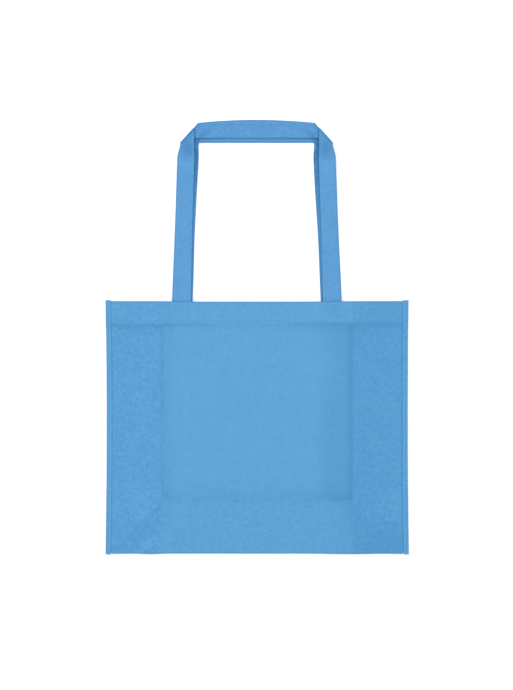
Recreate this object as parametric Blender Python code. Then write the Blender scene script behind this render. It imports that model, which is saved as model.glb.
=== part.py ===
# Exhibition tote bag of non-woven cloth, folded flat, with gusseted sides and bottom
import math

import bmesh
import bpy
from mathutils import Vector

# Cloth and the clearance between two plies
CLOTH = 0.0004
GAP = 0.0003
PLY = CLOTH + GAP

# Body
BAG_WIDTH = 0.400
BAG_HEIGHT = 0.333
HEM_DEPTH = 0.028
GUSSET_HALF = 0.0725
WAIST = 0.0014

# Bound side edges
BINDING_WIDTH = 0.0066
BINDING_HEAD = 0.0015
BINDING_TAIL = 0.0008
BINDING_BEND = 0.0006
PLY_EDGE = CLOTH + GAP + 0.0003
SEAM_TRIM = BINDING_WIDTH + 0.0006

# Length over which the cloth comes down beside a thicker stack
EASE = 0.022
PRESSED = 0.4

# Handles: each strap is a strip folded in half along its length
STRAP_WIDTH = 0.0247
STRAP_THICK = 2 * CLOTH + GAP
STRAP_STEP = STRAP_THICK + GAP
LEG_DRAW = 0.0020
MITRE_DRAW = 0.0024
MITRE_DROP = 0.0054
HANDLE_REACH = 0.2108
FRONT_FOOT = 0.0997
FRONT_CROWN = 0.0921
BACK_FOOT = 0.0968
BACK_CROWN = 0.0865
HANDLE_END = HEM_DEPTH - 0.001

# Sizes that follow from those above
HALF_WIDTH = BAG_WIDTH / 2
FOLD = PLY / 2
CREEP = math.pi * FOLD / math.sqrt(2)
TUCK_FOLD = 1.5 * PLY
CREASE_RISE = GUSSET_HALF - CREEP - TUCK_FOLD * math.pi / 2
CORNER = GUSSET_HALF + 0.001
MITRE = GUSSET_HALF - 0.004
FLANGE_IN = SEAM_TRIM + CREEP
HEM_LINE = BAG_HEIGHT - HEM_DEPTH
MOUTH = BAG_HEIGHT - FOLD
HANDLE_MID = (FRONT_FOOT + BACK_FOOT) / 2
HANDLE_NARROW = STRAP_WIDTH - LEG_DRAW - MITRE_DRAW
DROP_START = FRONT_CROWN - HANDLE_NARROW / 2 - 0.012
DROP_END = FRONT_CROWN + HANDLE_NARROW / 2

# Shared grid lines, so plies that lie on each other bend at the same places
LOW_ROWS = [SEAM_TRIM, 0.014, 0.027, 0.048, MITRE]
EASE_ROWS = [CORNER, CORNER + EASE / 2, CORNER + EASE]
HEM_ROWS = [HEM_LINE - 0.022, HEM_LINE - 0.012, HEM_LINE - 0.0015]
BODY_ROWS = LOW_ROWS + EASE_ROWS + [0.190] + HEM_ROWS + [MOUTH]
SIDE_LINES = [row + CREEP for row in LOW_ROWS]


# Smooth 1 to 0 over a length
def ease(distance, reach):
    share = min(max(distance / reach, 0.0), 1.0)
    return 1 - share * share * (3 - 2 * share)


# Straight steps between places
def steps(value, places, levels):
    if value <= places[0]:
        return levels[0]
    for start, end, low, high in zip(places, places[1:], levels, levels[1:]):
        if value <= end:
            return low + (high - low) * (value - start) / (end - start)
    return levels[-1]


# How far each stack has spread at a place, from 0 to 1
def flange(inward):
    return steps(inward, [FLANGE_IN, SIDE_LINES[1], SIDE_LINES[2]], [1.0, 0.4, 0.0])


def hemmed(height):
    return ease(HEM_LINE - 0.0015 - height, 0.0205)


def past_diagonal(inward, height):
    return (inward - height - 0.007) / math.sqrt(2)


def gusset_here(inward, height):
    return ease(max(inward - CORNER, past_diagonal(inward, height)), EASE)


def triangle_here(inward, height):
    far = max(inward - CORNER, height - CORNER, past_diagonal(inward, height))
    return ease(far, EASE)


def bottom_here(height):
    return ease(height - CORNER, EASE)


def handles_here(inward, height):
    side = abs(HALF_WIDTH - inward - HANDLE_MID) - STRAP_WIDTH / 2 - 0.003
    return ease(side, 0.012) * ease(HEM_LINE - 0.002 - height, 0.015)


# Levels of the middle of each ply above the table
def back_level(inward):
    return CLOTH / 2 + PLY * flange(inward)


def back_gusset_level(inward, height):
    return back_level(inward) + PLY * (1 + 2 * hemmed(height))


def front_gusset_level(inward, height):
    corner = bottom_here(height)
    spread = 4 * corner + 2 * flange(inward) * (1 - corner)
    return back_gusset_level(inward, height) + PLY * (1 + spread)


def back_bottom_level(inward, height):
    under = gusset_here(inward, height) + triangle_here(inward, height)
    return back_level(inward) + PLY * (1 + under)


def front_bottom_level(inward, height):
    return back_bottom_level(inward, height) + PLY


def front_level(inward, height):
    corner = bottom_here(height)
    hem = hemmed(height)
    plies = 1 + 2 * hem + gusset_here(inward, height) * (2 + 2 * hem)
    plies += 2 * triangle_here(inward, height) + 2 * corner
    plies += 2 * flange(inward) * (1 - corner)
    return back_level(inward) + PLY * plies + 2 * STRAP_STEP * handles_here(inward, height)


# The body draws in a little at half height
def waisted(side, inward, height, level):
    share = (height - BAG_HEIGHT / 2) / (BAG_HEIGHT / 2)
    draw = 1 - WAIST / HALF_WIDTH * (1 - min(share * share, 1.0))
    return Vector((side * (HALF_WIDTH - inward) * draw, height, level))


def new_object(name, mesh_builder, colour):
    mesh = bpy.data.meshes.new(name)
    mesh_builder.to_mesh(mesh)
    mesh_builder.free()
    cloth = bpy.data.objects.new(name, mesh)
    bpy.context.collection.objects.link(cloth)
    material = bpy.data.materials.new(name)
    material.use_nodes = True
    shader = material.node_tree.nodes["Principled BSDF"]
    shader.inputs["Base Color"].default_value = colour
    shader.inputs["Roughness"].default_value = 0.75
    mesh.materials.append(material)
    return cloth


# A ply of cloth from rows of middle points and their normals; skipped cells are cut away
def cloth_sheet(name, points, normals, colour, skipped=()):
    build = bmesh.new()
    upper = {}
    lower = {}
    rows = len(points)
    columns = len(points[0])
    cells = []
    for row in range(rows - 1):
        for column in range(columns - 1):
            if (row, column) not in skipped:
                cells.append((row, column))
    for row, column in cells:
        for place in [(row, column), (row + 1, column), (row + 1, column + 1), (row, column + 1)]:
            if place not in upper:
                middle = points[place[0]][place[1]]
                normal = normals[place[0]][place[1]]
                upper[place] = build.verts.new(middle + normal * CLOTH / 2)
                lower[place] = build.verts.new(middle - normal * CLOTH / 2)
    edge_use = {}
    for row, column in cells:
        ring = [(row, column), (row + 1, column), (row + 1, column + 1), (row, column + 1)]
        first = points[ring[2][0]][ring[2][1]] - points[ring[0][0]][ring[0][1]]
        middle_x = points[row][column].x + points[row + 1][column + 1].x
        leaning = first.x * first.y * (-1 if middle_x > 0 else 1)
        if leaning < 0:
            ring = ring[1:] + ring[:1]
        for corners in [(ring[0], ring[1], ring[2]), (ring[0], ring[2], ring[3])]:
            build.faces.new([upper[place] for place in corners])
            build.faces.new([lower[place] for place in reversed(corners)])
        for start, end in zip(ring, ring[1:] + ring[:1]):
            edge_use[(start, end)] = edge_use.get((end, start), 0) + 1
    for (start, end), count in edge_use.items():
        if (end, start) not in edge_use:
            build.faces.new([upper[start], lower[start], lower[end]])
            build.faces.new([upper[start], lower[end], upper[end]])
    bmesh.ops.recalc_face_normals(build, faces=build.faces)
    if build.calc_volume(signed=True) < 0:
        bmesh.ops.reverse_faces(build, faces=build.faces)
    return new_object(name, build, colour)


# Fold arc in the height and level plane, from one level to another
def fold_arc(height, start_level, end_level, way, count):
    middle = (start_level + end_level) / 2
    radius = abs(end_level - start_level) / 2
    turn = 1 if start_level > end_level else -1
    arc = []
    for index in range(1, count + 1):
        angle = math.pi * index / (count + 1)
        out = height + way * radius * math.sin(angle)
        arc.append((out, middle + turn * radius * math.cos(angle)))
    return arc


# Main panel: front, bottom and back in one piece, hemmed at both mouth edges
def panel_path(inward):
    def front(height):
        return (height, front_level(inward, height))

    def back(height):
        return (height, back_level(inward))

    low_front = (front_level(inward, 0) - front_bottom_level(inward, 0)) / 2
    low_back = (back_bottom_level(inward, 0) - back_level(inward)) / 2
    crease_front = front_bottom_level(inward, CREASE_RISE)
    crease_back = back_bottom_level(inward, CREASE_RISE)
    hem_rows = [HEM_LINE, MOUTH]
    path = [(row, front_level(inward, row) - PLY) for row in hem_rows]
    path += fold_arc(MOUTH, path[-1][1], front_level(inward, MOUTH), 1, 2)
    path += [front(row) for row in reversed(BODY_ROWS)]
    first_low = len(path)
    path += [front(low_front)]
    path += fold_arc(low_front, path[-1][1], front_bottom_level(inward, low_front), -1, 3)
    path += [(row, front_bottom_level(inward, row)) for row in [low_front] + LOW_ROWS + [CREASE_RISE]]
    path += fold_arc(CREASE_RISE, crease_front, crease_back, 1, 2)
    path += [(row, back_bottom_level(inward, row)) for row in [CREASE_RISE] + LOW_ROWS[::-1] + [low_back]]
    path += fold_arc(low_back, path[-1][1], back_level(inward), -1, 3)
    last_low = len(path)
    path += [back(low_back)]
    path += [back(row) for row in BODY_ROWS]
    path += fold_arc(MOUTH, back_level(inward), back_level(inward) + PLY, 1, 2)
    path += [(row, back_level(inward) + PLY) for row in reversed(hem_rows)]
    return path, first_low, last_low


def path_normals(path):
    normals = []
    for index in range(len(path)):
        before = path[max(index - 1, 0)]
        here = path[index]
        after = path[min(index + 1, len(path) - 1)]
        into = Vector((here[0] - before[0], here[1] - before[1]))
        out = Vector((after[0] - here[0], after[1] - here[1]))
        along = Vector((0, 0))
        for part in (into, out):
            if part.length > 1e-9:
                along += part.normalized()
        along.normalize()
        normals.append((-along.y, along.x))
    return normals


def main_panel(colour):
    fold_lines = [CORNER, HALF_WIDTH - HANDLE_MID - STRAP_WIDTH / 2 - 0.003]
    fold_lines += [HALF_WIDTH - HANDLE_MID, HALF_WIDTH - HANDLE_MID + STRAP_WIDTH / 2 + 0.003]
    fold_lines += [HALF_WIDTH - HANDLE_MID + STRAP_WIDTH / 2 + 0.015]
    lines = [PLY_EDGE] + SIDE_LINES + fold_lines
    columns = [(-1, line) for line in lines] + [(1, HALF_WIDTH)] + [(1, line) for line in reversed(lines)]
    points = []
    normals = []
    for side, inward in columns:
        path, first_low, last_low = panel_path(inward)
        points.append([waisted(side, inward, height, level) for height, level in path])
        normals.append([Vector((0, along, level)) for along, level in path_normals(path)])
    skipped = set()
    for cell in range(first_low, last_low):
        skipped.add((0, cell))
        skipped.add((len(columns) - 2, cell))
    return cloth_sheet("main_panel", points, normals, colour, skipped)


# Half of a gusset row, from the bound edge to the centre crease, as inward, height, drop and normal
MITRE_ANGLES = [0.25, 0.5, 0.75]
TUCK_ANGLES = [0.25, 0.5, 0.75]


def low_gusset_row(row):
    lines = [line for line in SIDE_LINES[:4] if line < row - 0.001]
    spare = 5 - len(lines) - 1
    start = lines[-1] if lines else PLY_EDGE
    outer = [PLY_EDGE] + lines
    outer += [start + (row - start) * (index + 1) / (spare + 1) for index in range(spare)]
    half = [(inward, row, 0.0, Vector((0, 0, 1))) for inward in outer + [row]]
    for share in MITRE_ANGLES:
        angle = share * math.pi
        run = FOLD * angle / math.sqrt(2)
        out = FOLD * math.sin(angle) / math.sqrt(2)
        normal = Vector((math.sin(angle) / math.sqrt(2), -math.sin(angle) / math.sqrt(2), math.cos(angle)))
        half.append((row + run + out, row + run - out, FOLD * (1 - math.cos(angle)), normal))
    half.append((row + CREEP, row + CREEP, PLY, Vector((0, 0, -1))))
    half.append((row + CREEP, CREASE_RISE, PLY, Vector((0, 0, -1))))
    for share in TUCK_ANGLES + [1.0]:
        angle = share * math.pi / 2
        normal = Vector((0, -math.sin(angle), -math.cos(angle)))
        height = CREASE_RISE + TUCK_FOLD * math.sin(angle)
        half.append((row + CREEP, height, PLY + TUCK_FOLD * (1 - math.cos(angle)), normal))
    return half


def high_gusset_row(row):
    radius = (front_gusset_level(GUSSET_HALF, row) - back_gusset_level(GUSSET_HALF, row)) / 2
    share = radius / (2.5 * PLY)
    centre = GUSSET_HALF - radius * math.pi / 2
    pattern = [GUSSET_HALF - MITRE]
    pattern += [pattern[0] - CREEP * 2 * angle for angle in MITRE_ANGLES + [1.0]]
    pattern += [TUCK_FOLD * math.pi / 2 * (1 - angle) for angle in [0.0] + TUCK_ANGLES + [1.0]]
    half = [(inward, row, 0.0, Vector((0, 0, 1))) for inward in [PLY_EDGE] + SIDE_LINES[:4]]
    for distance in pattern:
        run = distance * share
        angle = run / radius
        if angle > math.pi / 2:
            half.append((GUSSET_HALF - run, row, 0.0, Vector((0, 0, 1))))
        else:
            normal = Vector((math.cos(angle), 0, math.sin(angle)))
            inward = centre + radius * math.cos(angle)
            half.append((inward, row, radius * (1 - math.sin(angle)), normal))
    return half


# A whole gusset row: places and normals from the front seam round the crease to the back seam
def gusset_row(row):
    half = low_gusset_row(row) if row < CORNER - 0.001 else high_gusset_row(row)
    places = []
    facing = []
    for face, spots in ((1, half), (-1, half[-2::-1])):
        for inward, height, drop, normal in spots:
            front = front_gusset_level(inward, height)
            back = back_gusset_level(inward, height)
            level = front - drop if face > 0 else back + drop
            if (inward, height, drop, normal) == half[-1]:
                level = (front + back) / 2
            places.append(Vector((inward, height, level)))
            facing.append(Vector((normal.x, normal.y, face * normal.z)))
    return places, facing


# Rows between two others, where the centre crease turns into the fold over the bottom
def blended_row(low, high, share):
    places = [start.lerp(end, share) for start, end in zip(low, high)]
    facing = []
    for index in range(len(places)):
        into = places[index] - places[max(index - 1, 0)]
        out = places[min(index + 1, len(places) - 1)] - places[index]
        facing.append((into.normalized() + out.normalized()).cross(high[index] - low[index]))
    return places, facing


# The cloth is pressed thin round the point where four creases meet
def pressed(facing, amount):
    creased = range(6, len(facing) - 6)
    return [normal.normalized() * (amount if index in creased else 1) for index, normal in enumerate(facing)]


def gusset(name, side, colour):
    rows = []
    for row in BODY_ROWS:
        places, facing = gusset_row(row)
        if row == CORNER:
            low, low_facing = rows[-1][:2]
            leaving = blended_row(low, places, 0.0)[1]
            arriving = blended_row(low, places, 1.0)[1]
            meeting = [one + other.normalized() for one, other in zip(low_facing, leaving)]
            rows[-1] = (low, pressed(meeting, (1 + PRESSED) / 2), 0.0, 0.0)
            for share in (1 / 3, 2 / 3):
                between, leaning = blended_row(low, places, share)
                rows.append((between, pressed(leaning, PRESSED), 0.0, 0.0))
            facing = pressed([one + other.normalized() for one, other in zip(facing, arriving)], 1)
        rows.append((places, facing, 0.0, 0.0))
    places, facing = gusset_row(MOUTH)
    for share in (1 / 3, 2 / 3, 1.0):
        turn = share * math.pi
        rows.append((places, facing, FOLD * (1 - math.cos(turn)), turn))
    rows.append(gusset_row(HEM_LINE) + (PLY, math.pi))
    points = []
    normals = []
    for places, facing, offset, turn in rows:
        line = []
        turned = []
        for place, normal in zip(places, facing):
            away = Vector((-side * normal.x, normal.y, normal.z))
            spot = waisted(side, place.x, place.y, place.z)
            line.append(spot + away * offset + Vector((0, FOLD * math.sin(turn), 0)))
            turned.append(away * math.cos(turn) - Vector((0, math.sin(turn), 0)))
        points.append(line)
        normals.append(turned)
    return cloth_sheet(name, points, normals, colour)


# Edge binding: a tape folded round the bound plies, longer than the panel at both ends
def binding(name, side, over_front, colour):
    rows = [-BINDING_TAIL, MITRE] + EASE_ROWS + [0.190] + HEM_ROWS + [BAG_HEIGHT + BINDING_HEAD]
    inner = BINDING_WIDTH
    bend = CLOTH / 2 + BINDING_BEND
    points = []
    normals = []
    for row in rows:
        height = min(max(row, SEAM_TRIM), MOUTH)
        if over_front:
            low = front_gusset_level(PLY_EDGE, height) - PLY
            high = front_level(PLY_EDGE, height) + PLY
        else:
            low = back_level(PLY_EDGE) - PLY
            high = back_gusset_level(PLY_EDGE, height) + PLY
        turn = BINDING_BEND * (1 - math.sqrt(0.5))
        section = [(inner, low), (bend, low), (CLOTH / 2 + turn, low + turn)]
        section += [(CLOTH / 2, low + BINDING_BEND), (CLOTH / 2, high - BINDING_BEND)]
        section += [(CLOTH / 2 + turn, high - turn), (bend, high), (inner, high)]
        points.append([waisted(side, inward, row, level) for inward, level in section])
        normals.append([Vector((-side * a, 0, b)) for a, b in path_normals(section)])
    return cloth_sheet(name, points, normals, colour)


# Strap section: a strip folded in half along its length, its two cut edges together on the inner side
def strap_section():
    radius = PLY / 2
    edge = CLOTH / 2 + radius
    folded = []
    for share in (0.0, 1 / 3, 2 / 3, 1.0):
        angle = share * math.pi
        folded.append((edge - radius * math.sin(angle), -radius * math.cos(angle)))
    return [(STRAP_WIDTH, -radius)] + folded + [(STRAP_WIDTH, radius)]


def leg_edges(foot, crown, rise):
    share = min(max(rise / HANDLE_REACH, 0.0), 1.0)
    centre = foot + (crown - foot) * share
    half = (STRAP_WIDTH - LEG_DRAW * ease(0.5 - share, 0.45) - MITRE_DRAW * ease(1 - share, 0.11)) / 2
    return centre + half, centre - half


# The mitre crease is a little steeper than 45 degrees, so its outer corner lies lower
def mitre_drop(out, rise):
    share = max(out - DROP_START, 0.0) / (DROP_END - DROP_START)
    return MITRE_DROP * share ** 1.5 * ease(HANDLE_REACH - 0.020 - rise, 0.080)


# Handle stations: outer edge, inner edge, their levels and facing, from the foot to the middle of the grip
def handle_stations(foot, crown, layer):
    base = back_level(HALF_WIDTH) + PLY + CLOTH / 2 + GAP + STRAP_THICK / 2 + layer * STRAP_STEP
    rest = STRAP_THICK / 2 + layer * STRAP_STEP
    grip = STRAP_THICK / 2 + (1 - layer) * STRAP_STEP
    over = STRAP_THICK / 2 + (2 + layer) * STRAP_STEP
    radius = (over - grip) / 2
    line = HANDLE_REACH + FRONT_CROWN + HANDLE_NARROW / 2
    outer_crown, inner_crown = leg_edges(foot, crown, HANDLE_REACH)
    stations = []
    for rise, level in ((-HANDLE_END, base), (0.002, base), (0.026, rest), (0.070, rest), (0.115, rest)):
        outer, inner = leg_edges(foot, crown, rise)
        stations.append(((outer, rise), (inner, rise), level, (0, 0, 1)))
    for before in (0.077, 0.066, 0.0545, 0.043, 0.032):
        level = rest + (over - rest) * ease(before - 0.032, 0.045)
        outer, inner = outer_crown, inner_crown
        for _ in range(4):
            outer = leg_edges(foot, crown, line - before - outer)[0]
            inner = leg_edges(foot, crown, line - before - inner)[1]
        stations.append(((outer, line - before - outer), (inner, line - before - inner), level, (0, 0, 1)))
    for share in (0.0, 0.2, 0.4, 0.6, 0.8, 1.0):
        angle = share * math.pi
        out = radius * math.sin(angle) / math.sqrt(2)
        level = (over + grip) / 2 + radius * math.cos(angle)
        facing = (math.sin(angle) / math.sqrt(2), math.sin(angle) / math.sqrt(2), math.cos(angle))
        outer = (outer_crown + out, line - outer_crown + out)
        inner = (inner_crown + out, line - inner_crown + out)
        stations.append((outer, inner, level, facing))
    low = line - outer_crown
    high = line - inner_crown
    for place in (0.068, 0.055, 0.038, 0.018, 0.0):
        swell = 1 - (place / inner_crown) ** 2
        slant = ease(inner_crown - place, 0.045)
        width = STRAP_WIDTH * swell + (high - low) * (1 - swell)
        outer = (place + (outer_crown - inner_crown) * slant, low)
        inner = (place, low + width)
        stations.append((outer, inner, grip, (0, 0, -1)))
    return stations


def handle(name, foot, crown, layer, colour):
    half = handle_stations(foot, crown, layer)
    both = [(station, 1) for station in half] + [(station, -1) for station in reversed(half[:-1])]
    section = strap_section()
    turns = path_normals(section)
    points = []
    normals = []
    for (outer, inner, level, facing), side in both:
        start = Vector((side * outer[0], BAG_HEIGHT + outer[1] - mitre_drop(*outer), level))
        end = Vector((side * inner[0], BAG_HEIGHT + inner[1] - mitre_drop(*inner), level))
        across = (end - start) / STRAP_WIDTH
        upward = Vector((side * facing[0], facing[1], facing[2]))
        points.append([start + across * spot[0] + upward * spot[1] for spot in section])
        normals.append([across.normalized() * turn[0] + upward * turn[1] for turn in turns])
    return cloth_sheet(name, points, normals, colour)


for old in list(bpy.data.objects):
    bpy.data.objects.remove(old)

SKY = (0.126, 0.376, 0.686, 1.0)
SKY_TAPE = (0.118, 0.352, 0.665, 1.0)
pieces = [main_panel(SKY)]
pieces.append(gusset("left_gusset", -1, SKY))
pieces.append(gusset("right_gusset", 1, SKY))
pieces.append(binding("front_left_binding", -1, True, SKY_TAPE))
pieces.append(binding("front_right_binding", 1, True, SKY_TAPE))
pieces.append(binding("back_left_binding", -1, False, SKY_TAPE))
pieces.append(binding("back_right_binding", 1, False, SKY_TAPE))
pieces.append(handle("front_handle", FRONT_FOOT, FRONT_CROWN, 1, SKY_TAPE))
pieces.append(handle("back_handle", BACK_FOOT, BACK_CROWN, 0, SKY_TAPE))

# The origin is under the middle of the whole bag as it lies on the table
spots = [vertex.co for piece in pieces for vertex in piece.data.vertices]
shift_y = -(min(spot.y for spot in spots) + max(spot.y for spot in spots)) / 2
for piece in pieces:
    for vertex in piece.data.vertices:
        vertex.co.y += shift_y
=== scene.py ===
import math

import bmesh
import bpy
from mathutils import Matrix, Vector


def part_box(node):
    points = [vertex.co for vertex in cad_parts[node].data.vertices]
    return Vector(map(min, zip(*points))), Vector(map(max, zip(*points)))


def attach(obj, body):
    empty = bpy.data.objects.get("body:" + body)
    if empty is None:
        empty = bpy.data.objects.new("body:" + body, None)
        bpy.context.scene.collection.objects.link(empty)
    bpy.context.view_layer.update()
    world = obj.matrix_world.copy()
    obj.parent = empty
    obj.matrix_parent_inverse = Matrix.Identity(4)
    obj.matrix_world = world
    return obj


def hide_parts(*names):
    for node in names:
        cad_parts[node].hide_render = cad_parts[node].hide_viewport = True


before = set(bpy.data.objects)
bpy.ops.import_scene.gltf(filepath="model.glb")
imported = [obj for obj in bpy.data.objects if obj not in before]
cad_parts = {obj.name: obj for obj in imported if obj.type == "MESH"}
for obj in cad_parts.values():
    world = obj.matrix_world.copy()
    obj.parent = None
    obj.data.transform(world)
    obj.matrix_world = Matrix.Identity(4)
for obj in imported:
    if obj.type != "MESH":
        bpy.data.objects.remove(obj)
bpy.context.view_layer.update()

# The bag lies flat on a white light table and is seen square on from above, through a long
# lens. One broad lamp stands to the upper left and a weaker one to the right, and the room is
# bright all round, so that hardly a shadow falls.
PICTURE_MIDDLE = (-0.0007, -0.0109)
PICTURE_HEIGHT = 0.9115
BAG_TOP = 0.006
LENS = 100.0
SENSOR = 36.0
ROOM_LIGHT = 0.90
TABLE_SIZE = 12
TABLE_DROP = 0.0004
TABLE_GLOW = 0.34
eye = bpy.data.objects.new("eye", bpy.data.cameras.new("eye"))
eye.data.lens = LENS
eye.data.sensor_width = SENSOR
eye.location = (*PICTURE_MIDDLE, BAG_TOP + LENS / SENSOR * PICTURE_HEIGHT)
bpy.context.collection.objects.link(eye)
bpy.context.scene.camera = eye


def lamp(name, place, size, power):
    light = bpy.data.objects.new(name, bpy.data.lights.new(name, "AREA"))
    light.data.shape = "DISK"
    light.data.size = size
    light.data.energy = power
    light.location = place
    light.rotation_euler = (-Vector(place)).to_track_quat("-Z", "Y").to_euler()
    bpy.context.collection.objects.link(light)


lamp("upper_left_lamp", place=(-1.7, 1.3, 1.9), size=1.2, power=17)
lamp("right_lamp", place=(1.9, 0.5, 2.1), size=1.6, power=7)

room = bpy.data.worlds.new("room")
room.use_nodes = True
room.node_tree.nodes["Background"].inputs["Color"].default_value = (1, 1, 1, 1)
room.node_tree.nodes["Background"].inputs["Strength"].default_value = ROOM_LIGHT
bpy.context.scene.world = room
bpy.context.scene.view_settings.view_transform = "Standard"

for shown in bpy.context.selected_objects:
    shown.select_set(False)
bpy.ops.mesh.primitive_plane_add(size=TABLE_SIZE, location=(0, 0, -TABLE_DROP))
table_top = bpy.context.object
table_top.name = "table_top"
bpy.ops.object.transform_apply(location=True, rotation=True, scale=True)
table_white = bpy.data.materials.new("table_white")
table_white.use_nodes = True
table_finish = table_white.node_tree.nodes["Principled BSDF"].inputs
table_finish["Base Color"].default_value = (0.93, 0.93, 0.93, 1)
table_finish["Roughness"].default_value = 0.9
table_finish["Emission Color"].default_value = (1, 1, 1, 1)
table_finish["Emission Strength"].default_value = TABLE_GLOW
table_top.data.materials.append(table_white)

# Main panel: one length of spun-bonded cloth makes the front, the pushed-in bottom and the
# back. Both mouth edges are turned 28 mm to the inside and sewn, and the plies folded inside
# press through to the front as faint lines.
CLOTH = 0.0004
GAP = 0.0003
PLY = CLOTH + GAP
BAG_WIDTH = 0.400
BAG_HEIGHT = 0.333
HEM_DEPTH = 0.028
GUSSET_HALF = 0.0725
WAIST = 0.0014
TAPE_WIDTH = 0.0066
TAPE_TAIL = 0.0008
PLY_EDGE = PLY + 0.0003
SEAM_TRIM = TAPE_WIDTH + 0.0006
EASE = 0.022
STRAP_WIDTH = 0.0247
STRAP_THICK = 2 * CLOTH + GAP
STRAP_STEP = STRAP_THICK + GAP
FRONT_FOOT = 0.0997
BACK_FOOT = 0.0968
HALF_WIDTH = BAG_WIDTH / 2
FOLD = PLY / 2
CREEP = math.pi * FOLD / math.sqrt(2)
TUCK_FOLD = 1.5 * PLY
CREASE_RISE = GUSSET_HALF - CREEP - TUCK_FOLD * math.pi / 2
CORNER = GUSSET_HALF + 0.001
DIAGONAL_SHIFT = 0.007
FLANGE_IN = SEAM_TRIM + CREEP
FLANGE_EASE = 0.0205
HEM_LINE = BAG_HEIGHT - HEM_DEPTH
HEM_OVER = 0.0008
HEM_EASE = 0.009
MOUTH = BAG_HEIGHT - FOLD
HANDLE_MID = (FRONT_FOOT + BACK_FOOT) / 2
HANDLE_SIDE = 0.003
HANDLE_UNDER = 0.002
HANDLE_SIDE_EASE = 0.030
HANDLE_UNDER_EASE = 0.050
bottom_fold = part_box("back_left_binding")[0].y + TAPE_TAIL


# 1 where the distance is 0 or below, 0 past the reach, and a smooth slope between
def ease(distance, reach):
    share = min(max(distance / reach, 0.0), 1.0)
    return 1 - share * share * (3 - 2 * share)


def spread(start, end, pitch):
    count = max(1, round(abs(end - start) / pitch))
    return [start + (end - start) * step / count for step in range(count + 1)]


# Where each thing inside lifts the plies above it: 1 on it and 0 away from it
def flange(inward):
    return ease(inward - FLANGE_IN, FLANGE_EASE)


def hemmed(height):
    return ease(HEM_LINE - HEM_OVER - height, HEM_EASE)


def past_diagonal(inward, height):
    return (inward - height - DIAGONAL_SHIFT) / math.sqrt(2)


def gusset_here(inward, height):
    return ease(max(inward - CORNER, past_diagonal(inward, height)), EASE)


def triangle_here(inward, height):
    return ease(max(inward - CORNER, height - CORNER, past_diagonal(inward, height)), EASE)


def bottom_here(height):
    return ease(height - CORNER, EASE)


def handles_here(inward, height):
    beside = abs(HALF_WIDTH - inward - HANDLE_MID) - STRAP_WIDTH / 2 - HANDLE_SIDE
    below = HEM_LINE - HANDLE_UNDER - height
    return ease(beside, HANDLE_SIDE_EASE) * ease(below, HANDLE_UNDER_EASE)


# The level of each ply's middle, counted up from the back
def back_level(inward):
    return CLOTH / 2 + PLY * flange(inward)


def back_gusset_level(inward, height):
    return back_level(inward) + PLY * (1 + 2 * hemmed(height))


def front_gusset_level(inward, height):
    corner = bottom_here(height)
    plies = 1 + 4 * corner + 2 * flange(inward) * (1 - corner)
    return back_gusset_level(inward, height) + PLY * plies


def back_bottom_level(inward, height):
    plies = 1 + gusset_here(inward, height) + triangle_here(inward, height)
    return back_level(inward) + PLY * plies


def front_bottom_level(inward, height):
    return back_bottom_level(inward, height) + PLY


def front_level(inward, height):
    corner = bottom_here(height)
    hem = hemmed(height)
    plies = 1 + 2 * hem + gusset_here(inward, height) * (2 + 2 * hem)
    plies += 2 * triangle_here(inward, height) + 2 * corner + 2 * flange(inward) * (1 - corner)
    return back_level(inward) + PLY * plies + 2 * STRAP_STEP * handles_here(inward, height)


# How the whole bag lies: slow waves lift every ply together, the bottom edge hangs lower in
# two places, the hem runs a little out of square, the mouth's corners stand up and the right
# side bows out
BROAD_WAVE = 0.00045
SMALL_WAVE = 0.00022
DROOPS = ((-0.140, 0.014), (0.124, 0.036))
DROOP = 0.0008
HEM_SKEW = 0.0014
HEM_SKEW_REACH = 0.026
CORNER_RISE = 0.0005
SIDE_BOW = 0.0005


def waves(x, height):
    lift = BROAD_WAVE * (1 + math.sin(31 * x + 0.8) * math.sin(19 * height + 0.5))
    return lift + SMALL_WAVE * (1 + math.sin(64 * x - 41 * height + 1.1))


def bell(distance, reach):
    return math.exp(-(distance / reach) ** 2)


def lie(spot):
    x, height, level = spot
    droop = sum(bell(x - middle, reach) for middle, reach in DROOPS)
    shift = -DROOP * droop * ease(height, 0.05)
    beside_hem = max(0.0, 1 - ((height - HEM_LINE) / HEM_SKEW_REACH) ** 2) ** 2
    shift += HEM_SKEW * x / HALF_WIDTH * beside_hem
    shift += CORNER_RISE * ease(0.150 - abs(x), 0.080) * ease(BAG_HEIGHT - height, 0.030)
    widen = SIDE_BOW * ease(HALF_WIDTH - x, 0.060) * ease(height - 0.220, 0.100)
    return Vector((x + widen, height + shift + bottom_fold, level + waves(x, height)))


# The sewing draws each side in a little, most of all half way up
def waisted(side, inward, height, level):
    share = (height - BAG_HEIGHT / 2) / (BAG_HEIGHT / 2)
    draw = 1 - WAIST / HALF_WIDTH * (1 - min(share * share, 1.0))
    return Vector((side * (HALF_WIDTH - inward) * draw, height, level))


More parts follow.
